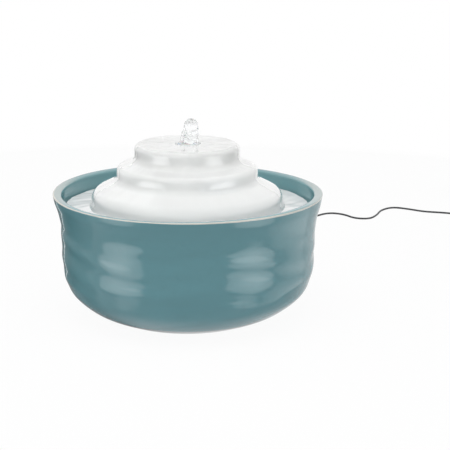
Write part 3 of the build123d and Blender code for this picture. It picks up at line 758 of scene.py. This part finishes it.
class FOUNTAIN_OT_dome(bpy.types.Operator):
    """White three-tiered dome with its brim, notch and drain slots"""

    bl_idname = "fountain.dome"
    bl_label = "Dome"

    def execute(self, context):
        settings = context.scene.fountain_dome
        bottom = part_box("dome")[0].z
        outside = rounded_outline(dome_corners())
        inside = [
            (reach, height) for reach, height in beside(outside, -settings.wall)
            if height > bottom + 0.5 * MM and reach < HOLLOW
        ]
        hole, (brim, brim_z) = outside[0][0], outside[-1]
        loop = outside[:-1] + [(brim - 0.4 * MM, brim_z), (brim, brim_z - 0.4 * MM)]
        loop += [(brim, bottom + 0.3 * MM), (brim - 0.3 * MM, bottom), (106 * MM, bottom)]
        loop += [(HOLLOW + 0.1 * MM, bottom), (HOLLOW - 0.1 * MM, bottom + 0.3 * MM)]
        loop += list(reversed(inside[1:])) + [(hole, inside[0][1])]

        def handmade(radius, height, angle):
            on_tiers = fade(*WOBBLE_UP, height) * fade(*WOBBLE_OUT, radius)
            out = np.sin(2 * angle + 0.4)
            out += 0.5 * np.sin(3 * angle + 2) * np.cos(height * 90)
            return radius + settings.wobble * on_tiers * out, height, 0 * radius

        dome = lathe("dome_glazed", loop, white_glaze(settings), 240, handmade)
        place = Matrix.Translation((0, 0, bottom - CUT_START))
        carve(dome, [self.notch(settings, place)] + self.drains(settings, place))
        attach(dome, "dome")
        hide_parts("dome")
        silicone = clear_silicone("silicone", context.scene.fountain_pump.silicone)
        dress(["nozzle_grommet", "riser_tube"], silicone)
        return {"FINISHED"}

    def notch(self, settings, place):
        """Cutter for the notch in the back of the brim."""
        half = settings.notch_width / 2
        outline = notch_outline(half, settings.notch_depth_radius + half, PAST_BRIM)
        return prism("notch_cutter", outline, CUT_DEPTH, place)

    def drains(self, settings, place):
        """Cutters for the drain slots at the front and back of the trough."""
        cutters = []
        for middle in DRAINS:
            outline = []
            for sign in (1, -1):
                reach = settings.drain_radius + sign * settings.drain_width / 2
                for step in range(-DRAIN_HALF, DRAIN_HALF + 1, 2):
                    turn = radians(middle + sign * step)
                    outline.append((reach * cos(turn), reach * sin(turn)))
            cutters.append(prism("drain_cutter", outline, CUT_DEPTH, place))
        return cutters


# ---------------- water
def surface_waves(radius, height, angle):
    """Smooth uneven waves over the water, about -1 to 1."""
    run = radius * 90 + height * 170
    waves = 0.45 * np.sin(7 * angle + run + 0.3)
    waves += 0.35 * np.sin(13 * angle - 1.7 * run + 1.9)
    waves += 0.3 * np.sin(19 * angle + 2.6 * run + 4.0) * np.sin(5 * angle + 2.2)
    waves += 0.35 * np.sin(37 * angle - 4.1 * run + 0.8) * np.sin(11 * angle + 0.6)
    return waves


FILM_START = 11 * MM  # radius where the film begins, beside the jet
SUNK = 0.35 * MM  # how far the water's underside reaches into the glaze
FILM_SPACING = 0.8 * MM  # points of the film's outside lie no closer than this
TROUGH_INNER, TROUGH_OUTER = 94.6 * MM, 121.6 * MM


class FOUNTAIN_OT_water_film(bpy.types.Operator):
    """Film of water over the tiers and the water in the trough round the dome"""

    bl_idname = "fountain.water_film"
    bl_label = "Film and trough"

    def execute(self, context):
        settings = context.scene.fountain_water
        glaze, skin = (
            [point for point in rounded_outline(corners) if point[0] > FILM_START]
            for corners in (dome_corners(), self.skin_corners())
        )
        brim_z = glaze[-1][1]
        level = brim_z + settings.trough_depth
        glaze = [point for point in glaze if point[1] > brim_z + 0.5 * MM]
        self.film(settings, glaze, skin, level)
        self.trough(settings, context.scene.fountain_dome, brim_z, level)
        return {"FINISHED"}

    def skin_corners(self):
        """The dome's corners, softer in the hollows that the water bridges."""
        corners = dome_corners()
        for index, rounding in ((2, 8), (4, 9)):
            radius, height, _ = corners[index]
            corners[index] = (radius + 0.2 * MM, height + 0.2 * MM, rounding * MM)
        return corners

    def film(self, settings, glaze, skin, level):
        """Sheet that hugs the tiers and ends just under the trough's level."""
        low = level - 0.6 * MM
        outer = [point for point in beside(skin, settings.film) if point[1] > low]
        kept = [outer[0]]
        for point in outer[1:]:
            if abs(point[0] - kept[-1][0]) + abs(point[1] - kept[-1][1]) > FILM_SPACING:
                kept.append(point)
        inner = [point for point in beside(glaze, -SUNK) if point[1] > low]
        loop = kept + list(reversed(inner))

        def flowing(radius, height, angle):
            is_outer = np.arange(len(radius))[:, None] < len(kept)
            edge = fade(FILM_START, FILM_START + 5 * MM, radius)
            lift = settings.film_ripple * surface_waves(radius, height, angle) * edge
            lift = np.where(is_outer, lift, 0)
            run, drop = np.gradient(radius, axis=0), np.gradient(height, axis=0)
            length = np.sqrt(run**2 + drop**2)
            return radius - lift * drop / length, height + lift * run / length, 0 * radius

        water = clear_water(settings, "water_film", gloss=0.8, clear=0.6)
        film = lathe("water_film", loop, water, 300, flowing)
        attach(film, "dome")

    def trough(self, settings, dome, brim_z, level):
        """Ring of water on the brim, with small waves and clear of the dome's notch."""
        inner, outer, under = TROUGH_INNER, TROUGH_OUTER, brim_z - SUNK
        edge = outer + 0.2 * MM
        loop = [(reach, level) for reach in np.linspace(inner, outer, 24)]
        loop += [(edge, level - 0.4 * MM), (edge, brim_z + 0.3 * MM)]
        loop += [(outer - 0.4 * MM, under), (108 * MM, under), (inner, under)]

        def waving(radius, height, angle):
            waves = surface_waves(radius, height, angle)
            lift = np.where(height > level - 0.1 * MM, waves * settings.trough_ripple, 0)
            return radius, height + lift, 0 * radius

        water = clear_water(settings, "trough_water", clear=0.2)
        trough = lathe("trough_water", loop, water, 320, waving)
        half = dome.notch_width / 2
        middle = dome.notch_depth_radius + half
        outline = notch_outline(half + 0.3 * MM, middle, PAST_BRIM)
        place = Matrix.Translation((0, 0, brim_z - 10 * MM))
        carve(trough, [prism("notch_cutter", outline, 30 * MM, place)])
        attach(trough, "dome")


# Lumps of the jet: x, y, height above its base and radius, in millimetres.
LUMPS = (
    (3.9, 0.0, 18.2, 7.0), (4.7, 0.4, 11.6, 6.5), (3.0, -0.4, 5.6, 7.0),
    (6.2, 0.8, 2.6, 5.4), (-1.4, 0.6, 15.0, 2.9), (-2.2, -0.8, 10.2, 3.7),
    (-3.0, 0.2, 5.6, 3.9), (-3.2, 0.6, 1.6, 3.9), (8.6, 0.5, 14.8, 3.0),
    (8.1, -0.2, 9.0, 3.2), (8.0, -0.6, 3.8, 3.3), (1.4, 1.2, 1.0, 6.2),
)
# Bubbles, in millimetres: radii, water over them, gap between two and lowest place.
BUBBLE_RADII, BUBBLE_COVER, BUBBLE_GAP, BUBBLE_LOWEST = (0.35, 0.95), 0.9, 0.25, 2.5
DIMPLES = 0.2 * MM  # unevenness of the jet's skin


class FOUNTAIN_OT_jet(bpy.types.Operator):
    """Short lumpy jet of clear water with its splash ring and air bubbles"""

    bl_idname = "fountain.jet"
    bl_label = "Jet"

    def execute(self, context):
        settings = context.scene.fountain_water
        water = clear_water(settings)
        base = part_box("water_jet")[0].z
        builder = bmesh.new()
        for x, y, z, radius in LUMPS:
            drop_shape(builder, (x * MM, y * MM, base + z * MM), radius * MM)
        self.splash_ring(builder, base)
        mesh = bpy.data.meshes.new("water_jet_clear")
        builder.to_mesh(mesh)
        builder.free()
        jet = add_object("water_jet_clear", mesh)
        melt = jet.modifiers.new("melt", "REMESH")
        melt.mode = "VOXEL"
        melt.voxel_size = 0.42 * MM
        relax = jet.modifiers.new("relax", "SMOOTH")
        relax.factor = 0.6
        relax.iterations = 12
        apply_modifiers(jet)
        self.dimple(jet.data, base)
        self.add_bubbles(jet.data, base, settings.bubbles)
        jet.data.shade_smooth()
        jet.data.materials.clear()
        jet.data.materials.append(water)
        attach(jet, "dome")
        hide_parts("water_jet")
        return {"FINISHED"}

    def splash_ring(self, builder, base):
        """Ring of small lumps where the falling water lands, over a thin disc."""
        chance = random.Random(5)
        drops = 44
        for step in range(drops):
            turn = TURN * step / drops
            reach = 12.2 + 0.5 * sin(3 * turn) + chance.uniform(-0.2, 0.2)
            size = 0.75 + 0.25 * sin(4 * turn + 1) + chance.uniform(0, 0.2)
            spot = ((0.5 + reach * cos(turn)) * MM, reach * sin(turn) * MM, base + 0.3 * MM)
            drop_shape(builder, spot, size * MM, detail=2)
        for reach, size in ((9.6, 0.7), (8.2, 1.0)):
            for step in range(24):
                turn = TURN * step / 24
                spot = ((0.8 + reach * cos(turn)) * MM, reach * sin(turn) * MM, base)
                drop_shape(builder, spot, size * MM, detail=2)

    def dimple(self, mesh, base):
        """Uneven skin of the water, fading out towards its base."""
        points, normals = np.empty((2, len(mesh.vertices) * 3), np.float32)
        mesh.vertices.foreach_get("co", points)
        mesh.vertices.foreach_get("normal", normals)
        points, normals = points.reshape(-1, 3), normals.reshape(-1, 3)
        x, y, z = ((points - (0, 0, base)) / MM).T
        waves = np.sin(0.9 * x + 1.3 * z) * np.sin(1.1 * y - 0.8 * z + 1)
        waves += 0.6 * np.sin(1.9 * x - 1.6 * z + 2) * np.sin(2.1 * y + 1.2 * z)
        amount = DIMPLES * fade(2.0, 5.0, z)
        points = points + normals * (waves * amount)[:, None]
        points[:, 2] = np.maximum(points[:, 2], base - 0.4 * MM)
        mesh.vertices.foreach_set("co", points.astype(np.float32).ravel())
        mesh.update()

    def add_bubbles(self, mesh, base, count):
        """Small air bubbles inside the larger lumps."""
        chance = random.Random(11)
        builder = bmesh.new()
        builder.from_mesh(mesh)
        placed = []
        while len(placed) < count:
            x, y, z, radius = chance.choice(LUMPS)
            size = chance.uniform(*BUBBLE_RADII)
            way = Vector([chance.gauss(0, 1) for _ in "xyz"]).normalized()
            way *= radius - size - BUBBLE_COVER
            spot = Vector((x, y, z)) + way * chance.uniform(0.2, 0.9)
            room = size + BUBBLE_GAP
            clear = all((spot - other).length > room + width for other, width in placed)
            if clear and spot.z > BUBBLE_LOWEST:
                placed.append((spot, size))
        for spot, size in placed:
            centre = Vector((spot.x * MM, spot.y * MM, base + spot.z * MM))
            drop_shape(builder, centre, size * MM, flip=True, detail=2)
        builder.to_mesh(mesh)
        builder.free()


# ---------------- lead
# Route of the free lead from the rim, down behind the bowl and away over the table to
# the right: points of a smooth curve, in millimetres.
LEAD_Z = 118.7
TABLE_Z = 1.3
DROP_ROUTE = [
    (0, 137, LEAD_Z), (0, 148, LEAD_Z), (0.5, 160, 110), (1, 167, 93), (2, 171, 69),
    (3, 175, 43), (6, 183, 21), (13, 197, 6),
]
TABLE_ROUTE = (
    (27, 217), (45, 243), (68, 272), (86, 308), (104, 342), (130, 362), (152, 384),
    (167, 411), (187, 430), (206, 421), (217, 399), (237, 396), (249, 418), (257, 444),
    (275, 462), (295, 451), (313, 436), (335, 431), (354, 423), (372, 419), (384, 420),
)
FREE_ROUTE = DROP_ROUTE + [(x, y, TABLE_Z) for x, y in TABLE_ROUTE]
TAIL_ROUTE = [
    (409.4, 442, TABLE_Z), (409.6, 460, TABLE_Z), (409, 470, 2), (402, 485, 10),
    (398, 500, 15), (398, 512, 15),
]
COIL_CENTRE = (392, 438)
COIL_INSIDE, RING_GAP, LAYER_GAP = 8.0, 2.5, 2.45  # first radius, then lead to lead


def coil_points(rings, layers):
    """Turns of the put-away lead: rings out and in again, layer on layer."""
    points = []
    per_turn = 12
    cut_corner = 1 / cos(pi / per_turn)  # the smooth line runs inside its points
    steps = rings * per_turn
    for layer in range(layers):
        for step in range(steps):
            share = step / steps
            ring = share * (rings - 1)
            if layer % 2 == 0:
                ring = rings - 1 - ring
            radius = (COIL_INSIDE + RING_GAP * ring) * cut_corner
            turn = -pi / 2 + TURN * step / per_turn
            climb = fade(0.97, 1.0, share) * (layer < layers - 1)
            x, y = COIL_CENTRE[0] + radius * cos(turn), COIL_CENTRE[1] + radius * sin(turn)
            points.append((x, y, TABLE_Z + LAYER_GAP * (layer + climb)))
    return points


class FOUNTAIN_OT_lead(bpy.types.Operator):
    """Thin lead from the rim to its coil and adapter, and the adapter's finish"""

    bl_idname = "fountain.lead"
    bl_label = "Lead and adapter"

    def execute(self, context):
        settings = context.scene.fountain_lead
        route = FREE_ROUTE + coil_points(rings=5, layers=3) + TAIL_ROUTE
        curve = bpy.data.curves.new("power_lead", "CURVE")
        curve.dimensions = "3D"
        curve.bevel_depth = settings.diameter / 2
        curve.bevel_resolution = 4
        curve.resolution_u = 8
        curve.use_fill_caps = True
        line = curve.splines.new("NURBS")
        line.points.add(len(route) - 1)
        for point, (x, y, z) in zip(line.points, route):
            point.co = (x * MM, y * MM, z * MM, 1)
        line.order_u = 3
        line.use_endpoint_u = True
        lead = add_object("power_lead", curve)
        jacket = lead_jacket(settings)
        curve.materials.append(jacket)
        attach(lead, "base")
        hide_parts("power_cord", "cord_coil", "cord_tail")
        rubber = soft_rubber("sleeve_rubber", context.scene.fountain_pump.rubber)
        dress(["cord_grommet", "adapter_relief", "cable_gland"], rubber)
        dress(["pump_lead"], jacket)
        case = moulded("adapter_plastic", settings.adapter, 0.5)
        dress(["adapter_base", "adapter_case", "adapter_nose"], case)
        dress(["adapter_pins"], plated_pin("pin_metal", (0.75, 0.75, 0.76)))
        return {"FINISHED"}


# ---------------- pump
class FOUNTAIN_OT_pump(bpy.types.Operator):
    """Finishes of the pump, its rotor, stator and filters"""

    bl_idname = "fountain.pump"
    bl_label = "Pump finishes"

    def execute(self, context):
        settings = context.scene.fountain_pump
        casing = moulded("pump_plastic", settings.casing, 0.42)
        dress(["pump_housing", "volute_cover"], casing)
        dress(["intake_cover"], moulded("strainer_plastic", settings.strainer, 0.46))
        dress(["flow_regulator"], moulded("regulator_plastic", settings.regulator, 0.3))
        dress(["impeller"], moulded("rotor_plastic", settings.rotor, 0.4))
        rubber = soft_rubber("seal_rubber", settings.rubber)
        dress(["suction_cups", "volute_seal", "front_bush", "rear_bush"], rubber)
        dress(["potting"], moulded("resin", (0.012, 0.012, 0.013), 0.22, 90, 0.2 * MM))
        dress(["rotor_magnet"], ground_ceramic("ferrite", (0.05, 0.05, 0.055), 0.4))
        shaft = ground_ceramic("shaft_ceramic", (0.78, 0.77, 0.72), 0.15)
        dress(["impeller_shaft", "thrust_washers"], shaft)
        dress(["stator_core"], laminated_core("core_steel", (0.4, 0.4, 0.42)))
        dress(["stator_windings"], wound_copper("copper_wire", (0.6, 0.22, 0.09)))
        dress(["circuit_board"], printed_board("board", (0.02, 0.17, 0.06)))
        dress(["filter_sponge"], open_foam("sponge", (0.05, 0.05, 0.055), 700, 0.5 * MM))
        dress(["carbon_pad"], open_foam("carbon", (0.02, 0.02, 0.02), 1100, 0.4 * MM))
        return {"FINISHED"}


# ---------------- studio
def aim(thing, place, target):
    """Stand a lamp, card or camera at place, facing target."""
    way = Vector(target) - Vector(place)
    thing.rotation_euler = way.to_track_quat("-Z", "Y").to_euler()
    thing.location = place


# Lamps: name, place, size and power.
LAMPS = (
    ("key_lamp", (-0.1, -0.65, 1.75), 1.5, 16.5),
    ("right_fill", (1.2, -0.6, 1.0), 1.2, 2.0),
    ("left_fill", (-1.2, -0.6, 1.0), 1.2, 2.0),
)
# Cards for the glaze to mirror, each seen from the fountain: name, degrees to the right
# of the front, degrees up, width and height in degrees, brightness and distance.
CARDS = (
    ("left_card", -60, -16, 46, 32, 3.8, 1.2),
    ("right_card", 56, -16, 50, 32, 3.8, 1.2),
    ("left_glow", -60, -1, 54, 24, 5.5, 1.1),
    ("right_glow", 58, -1, 54, 24, 5.5, 1.1),
    ("left_dark", -132, -24, 76, 48, 0.1, 1.2),
    ("back_dark", -172, -24, 56, 48, 0.1, 1.2),
    ("strip_card", -148, -24, 3, 60, 1.6, 1.1),
    ("right_low", 106, -33, 50, 50, 1.8, 1.25),
    ("back_low", 150, -33, 40, 50, 0.7, 1.2),
)
# Patches of floor that the belly mirrors: name, centre, inner and outer radius and
# brightness.
PATCHES = (
    ("belly_light", (0.05, 0.02, 0), 0.131, 0.137, 0.8),
    ("left_dusk", (-0.08, 0.03, 0.0002), 0.08, 0.14, 0.3),
    ("left_sheen", (-0.107, -0.134, 0.0004), 0.018, 0.036, 1.7),
    ("right_sheen", (0.104, -0.138, 0.0004), 0.018, 0.036, 2.0),
)
FRAME_PIXELS = 450
RIM_PIXEL = (187.2, 193.0)  # where the rim's centre stands in the frame
RIM_CENTRE = Vector((0, 0, 125.6 * MM))
LAMP_TARGET = Vector((0, 0, 100 * MM))
CARD_TARGET = Vector((0, 0, 80 * MM))
SURROUND_LIGHT = 0.44  # the surround's light on matt surfaces; to the camera it is 1
REFRACTED_SHARE = 0.8  # where between the two it is to light that comes through water
FLOOR_EDGE = (0.5, 0.95)  # metres from the centre between which the floor thins out
FLOOR_THINNED = 0.95  # how far the floor gives way to the surround, to the camera


class FOUNTAIN_OT_studio(bpy.types.Operator):
    """Camera, soft lamps, pale floor and reflection cards"""

    bl_idname = "fountain.studio"
    bl_label = "Studio"

    def execute(self, context):
        settings = context.scene.fountain_studio
        self.camera(context, settings)
        self.world(context)
        self.floor(settings)
        for plan in LAMPS:
            self.lamp(*plan)
        for plan in CARDS:
            self.card(*plan)
        for plan in PATCHES:
            self.patch(*plan)
        context.scene.view_settings.view_transform = "Standard"
        return {"FINISHED"}

    def lamp(self, name, place, size, power):
        """Soft square lamp that shows in no reflection."""
        light = bpy.data.lights.new(name, "AREA")
        light.size = size
        light.energy = power
        lamp = add_object(name, light)
        aim(lamp, place, LAMP_TARGET)
        lamp.visible_transmission = False
        lamp.visible_glossy = False

    def camera(self, context, settings):
        """Camera straight in front, its frame shifted to the fountain's right."""
        data = bpy.data.cameras.new("camera")
        data.lens = settings.lens
        data.sensor_width = 36
        data.clip_start = 0.01
        camera = add_object("camera", data)
        pixels_per_radian = FRAME_PIXELS * settings.lens / data.sensor_width
        eye = Vector((0, -settings.eye_distance, settings.eye_height))
        ahead = (RIM_CENTRE - eye).normalized()
        up = Vector((1, 0, 0)).cross(ahead)
        rim_x, rim_y = RIM_PIXEL
        data.shift_x = (FRAME_PIXELS / 2 - rim_x) / FRAME_PIXELS
        ahead -= up * (FRAME_PIXELS / 2 - rim_y) / pixels_per_radian
        aim(camera, eye, eye + ahead)
        context.scene.camera = camera

    def world(self, context):
        """White surround, with softer light for matt surfaces."""
        world = bpy.data.worlds.new("studio")
        world.use_nodes = True
        context.scene.world = world
        work = NodeWork(world.node_tree)
        background = work.nodes["Background"]
        background.inputs["Color"].default_value = (1, 1, 1, 1)
        rays = work.nodes.new("ShaderNodeLightPath").outputs
        seen = work.maths("MAXIMUM", rays["Is Camera Ray"], rays["Is Glossy Ray"])
        refracted = work.maths("MULTIPLY", rays["Is Transmission Ray"], REFRACTED_SHARE)
        through = work.maths("MAXIMUM", seen, refracted)
        level = work.grade(through, 0, 1, SURROUND_LIGHT, 1, smooth=False)
        work.link(level, background.inputs["Strength"])

    def floor(self, settings):
        """Pale floor that takes the shadows and thins out into the white surround."""
        pale = Finish("floor", settings.floor, 0.9, Specular_IOR_Level=0.0)
        rays = pale.nodes.new("ShaderNodeLightPath")
        gone = pale.grade(pale.reach(), *FLOOR_EDGE)
        bright = pale.maths("MULTIPLY", rays.outputs["Is Camera Ray"], FLOOR_THINNED)
        share = pale.maths("MAXIMUM", gone, bright)
        pale.mix_shaders(share, pale.shader, pale.nodes.new("ShaderNodeBsdfTransparent"))
        floor = flat_sheet("floor", 1.0, 1.0, pale.material)
        floor.visible_glossy = False

    def glow(self, name, brightness, shares):
        """Light that thins out to nothing at a card's edges.

        shares(finish) gives the socket that is 1 in the card's middle and 0 at its edge.
        """
        light = Finish(name, (1, 1, 1))
        emission = light.nodes.new("ShaderNodeEmission")
        emission.inputs["Strength"].default_value = brightness
        open_side = light.nodes.new("ShaderNodeBsdfTransparent")
        light.mix_shaders(shares(light), open_side, emission)
        light.nodes.remove(light.shader)
        return light.material

    def mirror_only(self, card):
        """Let only mirror reflections see the card."""
        card.visible_camera = False
        card.visible_diffuse = False
        card.visible_shadow = False
        card.visible_transmission = False

    def card(self, name, turn, lift, width, height, brightness, distance):
        """Oval card for mirror reflections, bright or dark.

        Half of it falls off from the middle outward and half only near the edge.
        """
        x, y = (distance * tan(radians(angle / 2)) for angle in (width, height))

        def middle(light):
            across = light.vector("MULTIPLY", light.place, (1 / x, 1 / y, 0))
            out = light.vector("LENGTH", across)
            edge, core = light.grade(out, 0.8, 1, 0.5, 0), light.grade(out, 0, 0.9, 0.5, 0)
            return light.maths("ADD", edge, core)

        card = flat_sheet(name, x, y, self.glow(name, brightness, middle))
        turn, lift = radians(turn), radians(lift)
        way = Vector((sin(turn) * cos(lift), -cos(turn) * cos(lift), sin(lift)))
        aim(card, CARD_TARGET + way * distance, CARD_TARGET)
        self.mirror_only(card)

    def patch(self, name, centre, inner, outer, brightness):
        """Brighter or dimmer patch of floor round the foot, for the belly to mirror."""

        def middle(light):
            return light.grade(light.reach(centre), inner, outer, 1, 0)

        patch = self.glow(name, brightness, middle)
        self.mirror_only(flat_sheet(name, outer, outer, patch, centre))


# ---------------- panel
OPERATORS = (
    FOUNTAIN_OT_studio,
    FOUNTAIN_OT_lead,
    FOUNTAIN_OT_bowl,
    FOUNTAIN_OT_dome,
    FOUNTAIN_OT_water_film,
    FOUNTAIN_OT_jet,
    FOUNTAIN_OT_pump,
)
SETTINGS = {
    "fountain_bowl": BowlSettings,
    "fountain_dome": DomeSettings,
    "fountain_water": WaterSettings,
    "fountain_lead": LeadSettings,
    "fountain_pump": PumpSettings,
    "fountain_studio": StudioSettings,
}


class FOUNTAIN_PT_panel(bpy.types.Panel):
    """Lists the fountain's pieces in the sidebar"""

    bl_idname = "FOUNTAIN_PT_panel"
    bl_label = "Pet fountain"
    bl_space_type = "VIEW_3D"
    bl_region_type = "UI"
    bl_category = "Fountain"

    def draw(self, context):
        for operator in OPERATORS:
            self.layout.operator(operator.bl_idname)


def register():
    """Register the settings, operators and panel."""
    for name, group in SETTINGS.items():
        bpy.utils.register_class(group)
        setattr(bpy.types.Scene, name, PointerProperty(type=group))
    for operator in OPERATORS + (FOUNTAIN_PT_panel,):
        bpy.utils.register_class(operator)


def unregister():
    """Undo register."""
    for operator in reversed(OPERATORS + (FOUNTAIN_PT_panel,)):
        bpy.utils.unregister_class(operator)
    for name, group in SETTINGS.items():
        delattr(bpy.types.Scene, name)
        bpy.utils.unregister_class(group)


def main():
    """Build everything in order."""
    register()
    for operator in OPERATORS:
        area, name = operator.bl_idname.split(".")
        getattr(getattr(bpy.ops, area), name)()


if __name__ == "__main__":
    main()
